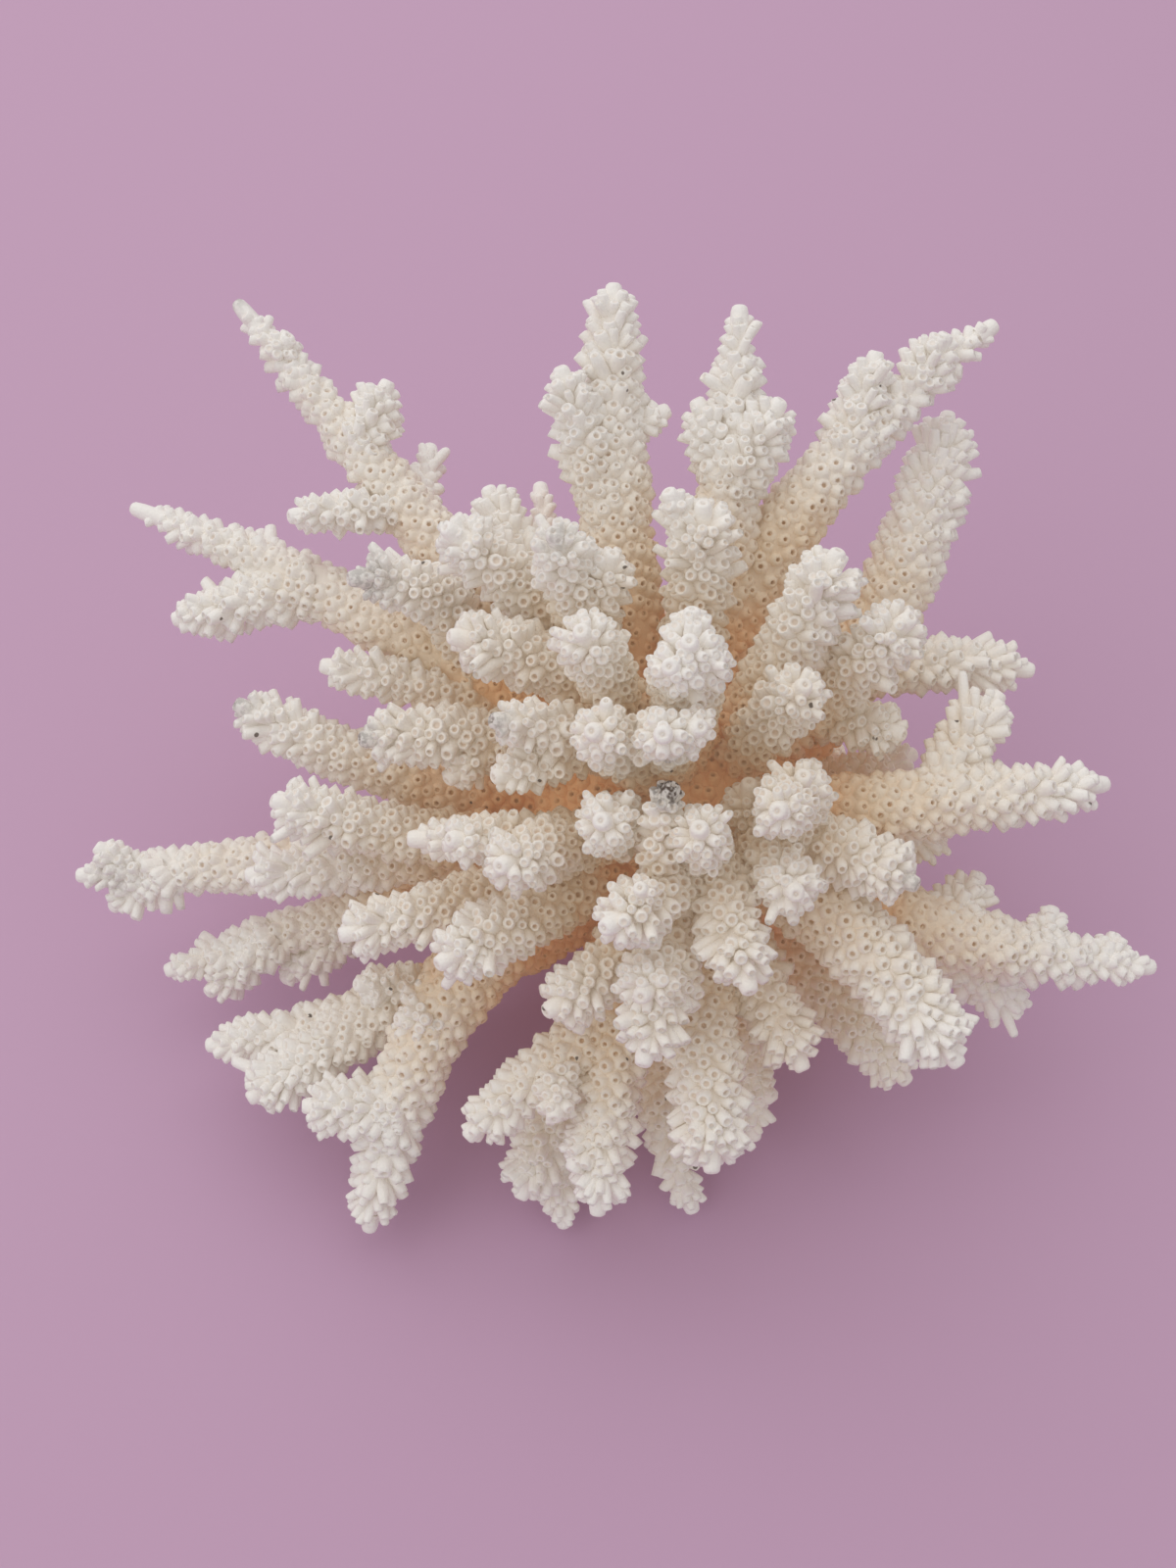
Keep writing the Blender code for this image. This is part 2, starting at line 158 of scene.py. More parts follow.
# Each branch: what it grows from, the share of that branch's length where it starts, its bearing
# from +X towards +Y, its rise above level, its reach in a straight line, how far it bows to its
# left, how far it arches up, and its radius over the knobs at the root and at the tip.
BRANCHES = {
    # the left side, from the back round to the front
    "back_left_long": ("head", 0, 138, 32, 111, 2, 5, 5.8, 1.5),
    "back_left_inner": ("head", 0, 155, 57, 69, -6, 1, 5.0, 4.2),
    "left_back_long": ("head", 0, 157, 22, 103, -1, 8, 6.2, 1.5),
    "left_back_upper": ("left_back_long", 0.41, 180, 56, 29, -3, 6, 4.6, 3.5),
    "left_upper": ("head", 0, 176, 56, 60, -4, 8, 4.8, 4.8),
    "left_slim": ("head", 0, 170, 30, 65, -4, 3, 4.2, 3.2),
    "left_middle": ("head", 0, 188, 37, 60, -3, 6, 4.8, 4.2),
    "crown_left": ("head", 0, 204, 59, 57, 1, 7, 4.0, 3.4),
    "left_rising": ("head", 0, 176, 23, 75, 3, -3, 4.8, 3.8),
    "left_short": ("head", 0, 192, 25, 69, 4, -2, 4.6, 4.3),
    "left_long": ("head", 0, 187, 2, 99, 1, 0, 6.4, 1.8),
    "left_over": ("head", 0, 194, 10, 71, 2, 3, 4.6, 4.1),
    "left_low": ("head", 0, 195, -7, 89, -2, -2, 5.0, 2.5),
    # the front, from left to right
    "front_left_upper": ("head", 0, 229, 28, 60, 3, 4, 5.0, 4.7),
    "front_left_middle": ("head", 0, 212, 19, 63, 3.5, 3, 4.6, 4.1),
    "front_left_low": ("head", 0, 206, -6, 85, 8, -2, 5.4, 3.0),
    "front_left_long": ("head", 0, 233, -14, 83, -8, 14, 6.6, 3.8),
    "crown_front_left": ("head", 0, 209, 36, 56, 9, 9, 4.2, 3.2),
    "crown_front_knob": ("head", 0, 248, 58, 58, 0, -1, 4.2, 3.9),
    "crown_front": ("head", 0, 255, 45, 61, 8, 3, 4.4, 4.0),
    "crown_stained": ("crown_front", 0.75, 88, 69, 19, 1.5, 0, 3.0, 2.3),
    "front_inner_left": ("head", 0, 247, 26, 55, 7, 2, 4.8, 4.2),
    "front_low_left": ("head", 0, 248, -15, 67, 1, 1, 5.4, 4.8),
    "front_middle": ("head", 0, 260, -2, 68, -1.5, 9, 5.2, 4.3),
    "front_slim": ("front_middle", 0.59, 217, -7, 29, -1, 1, 4.4, 3.6),
    "front_upper": ("head", 0, 264, 25, 60, 3, 10, 4.8, 4.4),
    "front_long": ("head", 0, 274, 10, 66, 1, 6, 5.4, 5.2),
    "front_low": ("head", 0, 274, -22, 65, -5, 3, 4.4, 2.8),
    "front_low_right": ("head", 0, 286, -20, 55, 2, 7, 4.4, 2.4),
    "front_right_upper": ("head", 0, 281, 35, 58, 0, 10, 4.6, 4.4),
    "front_right_inner": ("head", 0, 291, 12, 54, -1, 7, 4.6, 4.2),
    "front_right_long": ("head", 0, 308, 16, 68, 1, 11, 6.4, 5.2),
    "front_right_low": ("head", 0, 311, -7, 59, -1, 3, 4.6, 4.0),
    # the right side, from the front round to the back
    "right_long": ("head", 0, 337, 7, 82, -9, 6, 7.2, 1.8),
    "right_upper": ("head", 0, 319, 36, 56, -2, 7, 5.2, 4.6),
    "crown_front_right": ("head", 0, 293, 47, 57, 4, 0, 4.2, 4.0),
    "right_middle": ("head", 0, 351, 24, 73, -8, 11, 5.8, 3.7),
    "right_fork": ("right_middle", 0.67, 56, 20, 20, 1, -1, 4.6, 4.0),
    "right_back_arc": ("head", 0, 9, 29, 66, 6, 12, 4.8, 4.0),
    "crown_right_star": ("head", 0, 334, 70, 56, 2, -1, 4.2, 4.0),
    "crown_back_right": ("head", 0, 23, 68, 65, -4, 1, 5.0, 4.8),
    "right_back_upper": ("head", 0, 5, 58, 63, 2, -2, 5.0, 4.7),
    # the back, from right to left
    "back_right_long": ("head", 0, 45, 44, 96, 7, 10, 6.2, 1.8),
    "back_right_low": ("head", 0, 46, 39, 82, -11, 1, 6.4, 4.8),
    "back_tall_right": ("head", 0, 79, 54, 86, -3, 6, 6.4, 2.1),
    "crown_back": ("head", 0, 79, 74, 64, -1, -1, 4.8, 4.8),
    "back_tall": ("head", 0, 100, 53, 89, 4, 5, 6.4, 3.4),
    "back_thin": ("head", 0, 114, 32, 62, 6, 5, 3.0, 1.9),
    "right_hidden": ("head", 0, 9, 16, 44, -4, 4, 4.2, 3.4),
    "crown_back_left": ("head", 0, 151, 72, 67, -3, -3, 4.4, 4.0),
    # the crown, over the head
    "crown_left_knob": ("head", 0, 201, 76, 63, -3, 1, 4.4, 4.1),
    "crown_top": ("head", 0, 271, 81, 66, 1, 2, 5.0, 4.0),
    "crown_middle_left": ("head", 0, 236, 68, 61, 0, 3, 4.0, 3.7),
    "crown_middle": ("head", 0, 261, 70, 63, 0, 4, 3.9, 3.4),
    "crown_right_cluster": ("head", 0, 311, 61, 53, 1, -7, 4.4, 4.4),
    "crown_low_right": ("head", 0, 310, 64, 38, -1, -8, 3.8, 3.6),
    "crown_front_stub": ("head", 0, 273, 59, 59, 2, -4, 4.2, 3.8),
}

# The short twigs that are one solid with their branch, and the stubs low on the back of the head:
# the share of the branch's length where each starts, then its bearing, rise, reach, and radius over
# the knobs at the root and at the tip.
TWIGS = {
    "base": [
        (0, 62, 4, 36, 4.6, 4.2),
        (0, 88, 12, 42, 4.6, 4.0),
        (0, 116, 4, 39, 4.6, 4.2),
        (0, 150, -2, 37, 4.4, 4.0),
        (0, 28, -4, 37, 4.6, 4.2),
        (0, 100, -16, 33, 4.2, 3.8),
        (0, 48, -20, 33, 4.2, 3.6),
        (0, 355, -12, 36, 4.4, 4.0),
        (0, 172, -20, 34, 4.2, 3.8),
    ],
    "back_left_long": [
        (0.90, 16, 59, 4, 2.6, 2.2),
        (0.72, 59, 37, 12, 4.4, 2.5),
        (0.59, 87, 0, 17, 2.8, 1.7),
        (0.62, 203, 18, 20, 3.4, 2.6),
    ],
    "back_left_inner": [(0.72, 115, 27, 19, 4.2, 4.0)],
    "left_back_long": [(0.69, 196, -3, 23, 5.0, 2.6), (0.77, 137, -8, 10, 3.6, 2.2)],
    "left_middle": [(0.64, 227, 4, 11, 3.4, 3.4)],
    "crown_left": [(0.82, 110, 18, 4, 2.0, 1.8), (0.62, 213, 20, 20, 3.4, 3.0)],
    "left_long": [(0.90, 157, 31, 8, 3.0, 2.2), (0.85, 205, -24, 12, 4.0, 3.0)],
    "left_low": [(0.79, 217, -20, 15, 4.2, 3.2), (0.59, 212, -26, 21, 4.0, 2.8)],
    "front_left_low": [(0.64, 217, 1, 28, 5.0, 4.1), (0.56, 195, 35, 15, 3.4, 2.4)],
    "front_left_long": [(0.77, 184, 9, 15, 5.0, 3.6), (0.59, 202, 35, 8, 4.4, 3.8)],
    "crown_front_left": [(0.77, 209, 40, 13, 3.4, 3.0), (0.59, 232, 42, 23, 4.4, 4.1)],
    "crown_front": [(0.82, 235, 70, 10, 2.2, 2.0)],
    "front_slim": [(0.38, 267, 20, 12, 3.2, 2.6)],
    "front_low_left": [(0.82, 281, -41, 17, 3.8, 2.0)],
    "front_middle": [(0.79, 237, -9, 10, 3.6, 3.2)],
    "front_upper": [(0.77, 244, 39, 12, 4.2, 3.8)],
    "front_low_right": [(0.79, 306, -8, 7, 2.6, 2.2)],
    "front_right_long": [(0.88, 332, -15, 7, 3.8, 3.0)],
    "right_long": [
        (0.62, 54, 12, 12, 4.2, 3.0),
        (0.79, 70, 15, 8, 3.2, 2.5),
        (0.92, 70, 13, 5, 2.8, 2.3),
        (0.62, 336, -43, 22, 4.8, 3.4),
    ],
    "right_middle": [(0.56, 7, -42, 17, 4.8, 3.8)],
    "right_back_arc": [(0.44, 323, 23, 23, 4.2, 3.6)],
    "back_right_long": [(0.72, 71, 49, 15, 4.6, 2.6), (0.87, 48, 55, 8, 4.0, 2.4)],
    "back_tall_right": [(0.70, 38, 52, 15, 4.8, 3.8), (0.72, 130, 44, 12, 4.4, 2.4)],
    "crown_back": [(0.87, 153, 57, 11, 2.6, 1.8)],
    "back_tall": [(0.60, 125, 54, 26, 4.6, 3.2), (0.74, 25, 16, 10, 2.6, 2.2)],
    "crown_back_left": [(0.69, 26, 72, 14, 4.0, 3.9)],
    "crown_top": [
        (0.82, 242, 55, 12, 3.5, 3.2),
        (0.82, 313, 59, 10, 3.5, 3.2),
        (0.82, 86, 64, 10, 3.2, 2.8),
    ],
    "crown_middle_left": [(0.87, 114, 84, 8, 2.0, 1.8)],
    "crown_middle": [(0.79, 311, 58, 12, 3.1, 2.7)],
    "crown_right_cluster": [(0.85, 244, 51, 17, 3.8, 3.5)],
}


# A limb, which is a branch's stem or one of its twigs, is a solid stony rod with cups all over it.
# The rod, here the skin, is as thick as the limb less what its cups stand out.  Limbs stay thick to
# near their tips and end in a blunt dome.
STEP = 1.0  # between the points of a line
TAPER = 3  # the power that a limb's thinning follows from its root to its tip
NECK = 1.12  # a root is this much thicker, where the branches run together at the head,
NECK_START, NECK_END = 28.0, 50.0  # and thins between these distances from the growth centre
TWIG_NECK = 5.0  # a twig thickens over this length
DOME = 0.55  # the dome at a tip is this share of the limb's radius high
ROOT_SUNK = 3  # steps that a branch's root lies inside the head
SKIN_SIDES = 10
SKIN_END = 0.12  # the skin's radius at the limb's end, where a small cap closes it
AGES = [0, 3, 8, 16, 28, 45, 70]  # distance from the tip, which the figures for cups follow
PROUD = [2.5, 2.6, 2.3, 1.7, 1.1, 0.8, 0.6]  # how far the cups stand out from the skin
MOST_PROUD = 0.55  # and at most this share of the limb's radius
Limb = namedtuple("Limb", "node line side reach skin age")
Surface = namedtuple("Surface", "points quads age hollow")


def spine(start, bearing, rise, reach, bow=0.0, arch=0.0):
    """The middle line of a limb and the one direction square to all of it: a straight reach, pushed
    to its left and upwards by a parabola, so that the line stays in one plane."""
    across, up = radians(bearing), radians(rise)
    ahead = np.array([cos(up) * cos(across), cos(up) * sin(across), sin(up)])
    left = np.array([-sin(across), cos(across), 0.0])
    bend = bow * left + arch * np.cross(ahead, left)
    share = np.linspace(0, 1, int(reach / STEP) + 2)[:, None]
    side = np.cross(ahead, bend) if bend.any() else left
    return start + share * reach * ahead + 4 * share * (1 - share) * bend, side / np.linalg.norm(side)


def point_at(line, share):
    """The point of a line at this share of its length."""
    return line[round(share * (len(line) - 1))]


def outside_head(points):
    """How far points lie outside the stalk and head, measured level; less than 0 inside."""
    heights, radii, shifts = np.transpose(BASE_PROFILE)
    middles = np.interp(points[:, 2], heights, shifts)[:, None] * HEAD_SHIFT[:2]
    return np.hypot(*(points[:, :2] - middles).T) - np.interp(points[:, 2], heights, radii, right=0.0)


def limb_along(node, line, side, root, tip, neck_start, neck_end):
    """A limb with its reach, which is its radius over the cups, and its skin's radius.  Both are
    rounded off over the dome at the tip as a half ellipse is."""
    along = np.arange(len(line)) * STEP
    radii = root + (tip - root) * np.linspace(0, 1, len(line)) ** TAPER
    radii *= np.interp(along, [neck_start, neck_end], [NECK, 1.0])
    start = max(0, int(np.nonzero(outside_head(line) < 0)[0].max(initial=0)) - ROOT_SUNK)
    line, radii = line[start:], radii[start:]
    age = along[:len(line)][::-1]
    proud = np.minimum(np.interp(age, AGES, PROUD), MOST_PROUD * radii)
    skin = (radii - proud) * rounded((age - proud) / (DOME * tip)) + SKIN_END
    return Limb(node, line, side, radii * rounded(age / (DOME * tip)), skin, age)


def rounded(share):
    """How wide a half ellipse is at this share of its height from the top down."""
    share = np.clip(share, 0, 1)
    return np.sqrt(share * (2 - share))


def grow():
    """The middle line of every stem of the plan, and every stem and twig as limbs."""
    stems, limbs = {}, []
    for name, (parent, share, bearing, rise, reach, bow, arch, root, tip) in BRANCHES.items():
        start, neck = GROWTH_CENTRE, (NECK_START, NECK_END)
        if parent != "head":
            start, neck = point_at(stems[parent], share), (0.0, TWIG_NECK)
        stems[name], side = spine(start, bearing, rise, reach, bow, arch)
        limbs.append(limb_along(name, stems[name], side, root, tip, *neck))
    for name, twigs in TWIGS.items():
        for share, bearing, rise, reach, root, tip in twigs:
            start = point_at(stems[name], share) if name in stems else GROWTH_CENTRE
            line, side = spine(start, bearing, rise, reach)
            limbs.append(limb_along(name, line, side, root, tip, 0.0, TWIG_NECK))
    return stems, limbs


def end_cap(sides):
    """Quads that fill an even-sided ring, fanned out from its first point."""
    return np.array([(0, at, at + 1, at + 2) for at in range(1, sides - 2, 2)])


def ring_quads(rings, sides):
    """Quads between one ring of points and the next, running round and then along."""
    row, side = np.meshgrid(np.arange(rings - 1), np.arange(sides), indexing="ij")
    low, beside = row * sides + side, row * sides + (side + 1) % sides
    return np.stack([low, beside, beside + sides, low + sides], axis=-1).reshape(-1, 4)


def directions(line, side):
    """Along the line at each of its points, and square to both that and its side."""
    ahead = np.gradient(line, axis=0)
    ahead /= np.linalg.norm(ahead, axis=1)[:, None]
    return ahead, np.cross(ahead, side)


def skin_of(limb):
    """A tube: at each point of the line, a ring of the skin's radius square to the line."""
    _, up = directions(limb.line, limb.side)
    turn = np.linspace(0, 2 * pi, SKIN_SIDES, endpoint=False)
    outward = np.cos(turn)[None, :, None] * limb.side + np.sin(turn)[None, :, None] * up[:, None]
    points = (limb.line[:, None] + limb.skin[:, None, None] * outward).reshape(-1, 3)
    rings = len(limb.line)
    quads = [ring_quads(rings, SKIN_SIDES), end_cap(SKIN_SIDES)[:, ::-1],
             end_cap(SKIN_SIDES) + (rings - 1) * SKIN_SIDES]
    age = np.repeat(limb.age, SKIN_SIDES)
    return Surface(points, np.concatenate(quads), age, np.full(len(points), SKIN_PAINTED_SHADE))


# The cups, or corallites, are the little tubes that the polyps sat in, about 2 mm across and set
# in spirals like a sunflower's seeds.  Those near a tip are thick-lipped petals that lean forward,
# nearly closed; further back the skeleton has thickened round them, down to low rims with small
# holes, coloured brown partly as stain and partly as painted shade.  One wider cup, the axial one,
# makes each tip.
SKIN_PAINTED_SHADE = 0.12  # how much of the hole colour the skin between cups takes: painted shade in the crevices
CUP_PITCH = [2.2, 2.35, 2.45, 2.45, 2.5, 2.6, 2.7]  # from one cup to the next, by age
CUP_RADIUS = [0.82, 0.88, 0.97, 1.06, 1.1, 1.08, 1.05]  # outside a cup's lip, by age
MOST_WIDE = 0.31  # a cup's radius is at most this share of its limb's
CUP_SUNK = 0.6  # how deep a cup's root lies in the skin
LEAN = [30, 46, 57, 63, 68, 74, 80]  # a cup's angle from the limb's line, in degrees, by age
SLANT = [10, 18, 18, 14, 8, 4, 2]  # its mouth's tilt towards the tip, in degrees, by age
SCATTER = 0.11  # how far a cup strays from its place, as a share of the pitch
LENGTHS = (0.9, 4.4)  # the shortest and the longest usual cup
LEAN_STRAY, TWIST_STRAY = 7, 0.08  # how far cups stray in their lean, in degrees, and to one side
WIDTH_STRAY, WIDTH_RANGE = 0.12, (0.75, 1.3)  # how far, and at most, from the usual width
GROWTH_STRAY, GROWTH_RANGE = 0.18, (0.65, 1.3)  # how far, and at most, from the usual length
TIP_GROWTH = 0.95  # the cups round a tip grow at most this share of their usual length
LIP_SHARE = 0.2  # a mouth meets the limb's outside this far from its middle to its outer lip
GOLDEN = pi * (3 - sqrt(5))  # the turn from one cup to the next
FIRST_CUP = 0.5  # the youngest side cups open this far back from the tip
SLENDER, SMOOTH_TIP = 2.0, 3.0  # a tip thinner than the first is a smooth tube as long as the second
YOUNG_SIDES, OLD_SIDES, PLAIN_AGE = 8, 6, 13.0  # the cups older than the last have fewer sides
FINGERS, FINGER_GROWTH = 0.12, (1.15, 1.45)  # the share of cups that grow long, and how much longer,
FINGER_AGES = (3.0, 13.0)  # all of them between these distances from the tip
FINGER_SLANT = 0.5  # a long cup's mouth is tilted by this share of the others' tilt
FACING_UP, SHADE_GROWTH = [-1.0, 0.2, 0.9], [1.1, 1.1, 0.85]  # cups that face down grow longer
MOUTH_ROOM = 0.3  # a mouth opens at least this far outside the head and the other limbs' skin
AXIAL_RADIUS, AXIAL_LENGTH, AXIAL_SIDES = 1.35, 3.4, 12
AXIAL_WIDE = 0.46  # the axial cup's radius is at most this share of its limb's
# A cup's profile from its root to the middle of its floor: share of its radius, share of its
# length, and how much of the hole colour it takes there, painted shade at its root and in its hole.
# A petal by the first age is a ring by the second and a low mound with a small hole by the third.
PROFILE_AGES = [4.0, 11.0, 28.0]
PETAL = [(1.0, 0, 0.15), (1.0, 0.62, 0), (0.86, 0.92, 0), (0.60, 1, 0), (0.34, 0.94, 0.6)]
RING = [(1.25, 0, 0.15), (1.06, 0.70, 0), (0.82, 1, 0), (0.52, 0.97, 0.1), (0.34, 0.80, 0.75)]
MOUND = [(1.40, 0, 0.15), (1.06, 0.66, 0), (0.62, 1, 0), (0.36, 0.94, 0.35), (0.26, 0.50, 1)]
CUP_PROFILES = np.array([PETAL, RING, MOUND])
AXIAL_CUP = np.array([
    (1.1, 0, 0.1), (1.0, 0.70, 0), (0.86, 0.92, 0), (0.60, 1, 0), (0.32, 0.985, 0.2), (0.22, 0.92, 0.5),
])


def cups(profiles, sides, seats, along, away, widths, lengths, slants, ages):
    """Cups, each its profile turned about its own line.  A profile point at share p of the radius w
    and share q of the length d lies, at angle a round the cup, at
    seat + w p (away cos a + aside sin a) + q (d + w p tan(slant) cos a) along."""
    share, height, hollow = (profiles[:, :, column, None] for column in range(3))
    turn = np.linspace(0, 2 * pi, sides, endpoint=False)
    width, length, slant = (value[:, None, None] for value in (widths, lengths, np.tan(slants)))
    outward, aside = width * share * np.cos(turn), width * share * np.sin(turn)
    forward = height * (length + slant * outward)
    points = (seats[:, None, None] + outward[..., None] * away[:, None, None]
              + aside[..., None] * np.cross(along, away)[:, None, None]
              + forward[..., None] * along[:, None, None])
    rings = profiles.shape[1]
    one = np.concatenate([ring_quads(rings, sides), end_cap(sides) + (rings - 1) * sides])
    quads = one[None] + (np.arange(len(seats)) * rings * sides)[:, None, None]
    shape = points.shape[:3]
    return Surface(points.reshape(-1, 3), quads.reshape(-1, 4),
                   np.broadcast_to(ages[:, None, None], shape).ravel(),
                   np.broadcast_to(hollow, shape).ravel())


def read(rows, places, where):
    """The rows of an array that belong to these places, read in between at others."""
    return np.stack([np.interp(where, places, column) for column in rows.T], axis=-1)


def unit(vectors):
    """Each vector divided by its own length."""
    return vectors / np.linalg.norm(vectors, axis=1)[:, None]


def spiral(limb, spin):
    """Where the cups open: their age, and their turn round the limb.  Each takes the same room on the
    limb's outside, and turns by the golden angle from the last."""
    age, reach = limb.age[::-1], limb.reach[::-1]
    room = np.interp(age, AGES, CUP_PITCH) ** 2 * sqrt(3) / 2
    crowd = 2 * pi * reach / room * np.hypot(STEP, np.gradient(reach))
    number = np.concatenate([[0], np.cumsum((crowd[1:] + crowd[:-1]) / 2)])
    order = np.arange(0.5, number[-1])
    return np.interp(order, number, age) + FIRST_CUP, order * GOLDEN + spin


def tip_is_smooth(limb):
    """Whether the limb's end is too thin to carry side cups."""
    return np.interp(SMOOTH_TIP, limb.age[::-1], limb.reach[::-1]) < SLENDER


def cup_figures(age, reach, thickest, random):
    """What each cup is like, by its age and the limb's reach there: its lean, its mouth's slant, its
    radius, the length that lets its mouth come out to the reach, how many times that it has grown,
    and how far its lip stands out past the middle of its mouth."""
    count = len(age)
    lean = np.radians(np.interp(age, AGES, LEAN) + random.normal(0, LEAN_STRAY, count))
    slants = np.radians(np.interp(age, AGES, SLANT))
    widths = np.minimum(np.interp(age, AGES, CUP_RADIUS), MOST_WIDE * thickest)
    widths *= np.clip(random.normal(1, WIDTH_STRAY, count), *WIDTH_RANGE)
    proud = np.minimum(np.interp(age, AGES, PROUD), MOST_PROUD * reach) + CUP_SUNK
    lip = LIP_SHARE * widths * (np.cos(lean) + np.tan(slants) * np.sin(lean))
    usual = np.clip((proud - lip) / np.sin(lean), *LENGTHS)
    growth = np.clip(random.normal(1, GROWTH_STRAY, count), *GROWTH_RANGE)
    young, old = FINGER_AGES
    finger = (random.uniform(0, 1, count) < FINGERS) & (age > young) & (age < old)
    growth = np.where(age < young, np.minimum(growth, TIP_GROWTH), growth)
    growth = np.where(finger, growth * random.uniform(*FINGER_GROWTH, count), growth)
    slants = np.where(finger, FINGER_SLANT * slants, slants)
    return lean, slants, widths, usual, growth, lip


def cups_of(limb, limbs, random):
    """The cups of one limb, without those that lie inside the head or another limb."""
    age, turn = spiral(limb, random.uniform(0, 2 * pi))
    count = len(age)
    stray = SCATTER * np.interp(age, AGES, CUP_PITCH)
    age = np.clip(age + random.normal(0, 1, count) * stray, FIRST_CUP, limb.age[0])
    reach = np.interp(age, limb.age[::-1], limb.reach[::-1])
    turn = turn + random.normal(0, 1, count) * stray / np.maximum(reach, AXIAL_RADIUS)
    lean, slants, widths, usual, growth, lip = cup_figures(age, reach, limb.reach.max(), random)
    # from where it opens back down to its seat in the skin
    seat_age = np.minimum(age + usual * np.cos(lean), limb.age[0])
    ahead, up = directions(limb.line, limb.side)
    middle, ahead, up = (read(rows, -limb.age, -seat_age) for rows in (limb.line, ahead, up))
    outward = np.cos(turn)[:, None] * limb.side + np.sin(turn)[:, None] * up
    along = np.cos(lean)[:, None] * ahead + np.sin(lean)[:, None] * outward
    along = unit(along + random.normal(0, TWIST_STRAY, count)[:, None] * np.cross(ahead, outward))
    away = unit(outward - (outward * along).sum(axis=1)[:, None] * along)
    shade = np.interp(outward[:, 2], FACING_UP, SHADE_GROWTH)
    lengths = usual * growth * np.where(age > FINGER_AGES[0], shade, 1.0)
    depth = np.maximum(reach - lip - usual * np.sin(lean), 0.0)
    seats = middle + depth[:, None] * outward
    mouths = seats + lengths[:, None] * along
    free = clear_of(mouths, limb, limbs) & (outside_head(mouths) > MOUTH_ROOM)
    free &= age > (SMOOTH_TIP if tip_is_smooth(limb) else 0.0)
    flat = CUP_PROFILES.reshape(len(PROFILE_AGES), -1)
    profiles = read(flat, PROFILE_AGES, age).reshape(-1, *CUP_PROFILES.shape[1:])
    plain, found = age >= PLAIN_AGE, []
    for sides, which in ((YOUNG_SIDES, free & ~plain), (OLD_SIDES, free & plain)):
        if which.any():
            found.append(cups(profiles[which], sides, *(values[which] for values in (
                seats, along, away, widths, lengths, slants, age))))
    return found


def clear_of(mouths, own, limbs):
    """Which mouths lie outside every other limb's skin."""
    others = [other for other in limbs if other is not own]
    lines = np.concatenate([other.line for other in others])
    skins = np.concatenate([other.skin for other in others])
    apart = np.linalg.norm(mouths[:, None] - lines[None], axis=2) - skins
    return apart.min(axis=1) > MOUTH_ROOM


def axial_cup(limb):
    """The one wider cup at the limb's end, straight on along its line."""
    _, up = directions(limb.line, limb.side)
    width = np.array([min(AXIAL_RADIUS, AXIAL_WIDE * limb.reach.max())])
    length = AXIAL_LENGTH + (SMOOTH_TIP if tip_is_smooth(limb) else 0.0)
    root = max(len(limb.line) - 1 - round(length / STEP), 0)
    along = unit(limb.line[-1:] - limb.line[root])
    away = unit(up[-1:] - (up[-1:] * along).sum() * along)
    return cups(AXIAL_CUP[None], AXIAL_SIDES, limb.line[-1:] - length * along, along, away, width,
                np.array([length]), np.zeros(1), np.zeros(1))


# The skeleton's surface is chalky and slightly see-through, near white where it is youngest, at the
# tips, and cream to tan deeper in the colony, partly its own colour and partly painted shade of the
# crowded middle.  The holes of the cups, their roots and the skin between them take a brown that is
# partly stain and partly painted shade.  Its tone runs from 0 at an outer tip to 1 at the head, and is
# the sum of three parts.
METRES_PER_MM = 0.001
TONES = [(0.0, "#f1efea"), (0.35, "#ede7dc"), (0.7, "#e8d7bd"), (1.0, "#e9ba86")]
OUTER, INNER, INNER_TONE = 70.0, 22.0, 0.80  # tone by the distance from the growth centre, in mm; partly painted shade deep in the colony
YOUNG, OLD, YOUNG_TONE, OLD_TONE = 2.0, 40.0, -0.06, 0.38  # tone by the distance from the tip
PATCH, PATCH_TONE = 11.11, 0.12  # uneven patches this wide, which darken or whiten by this much,
PATCH_NOISE = (0.3, 0.7)  # as the noise goes from the first of these to the second
HOLE_SHADE_AND_STAIN, YOUNG_HOLE, OLD_HOLE = "#bd9059", 0.30, 0.85  # the hole colour and how strongly a hole takes it, young and old: painted shade, partly stain
SPECK, SPECK_SPACING, SPECK_STRENGTH = "#3a2c1e", 6.33, 0.9
SPECK_CORE, SPECK_EDGE = 0.055, 0.075  # how far a speck is black, and where it ends, by the spacing
SPECKLESS = 0.72  # this share of the places for a speck have none
SOOT, SOOT_GRAIN = "#33251a", 0.909
SOOT_NOISE = (0.42, 0.58)  # the noise between the grains and on them
THIN_SOOT = 0.30  # the share of the soot that lies between its grains
PORE, GRIT = 0.3846, 0.6667  # from one pore or grain of the skeleton's mesh to the next
MESH_DEPTH, MESH_STRENGTH = 0.2, 0.35
PAINTED_GLOW_COLOUR, PAINTED_GLOW_STRENGTH = "#ffe8d2", 0.055  # a painted glow: warm light that the skeleton gives out itself, in place of light spreading inside it


def per_metre(size):
    """The scale of a pattern on Object coordinates that repeats about every so many millimetres."""
    return 1 / (size * METRES_PER_MM)


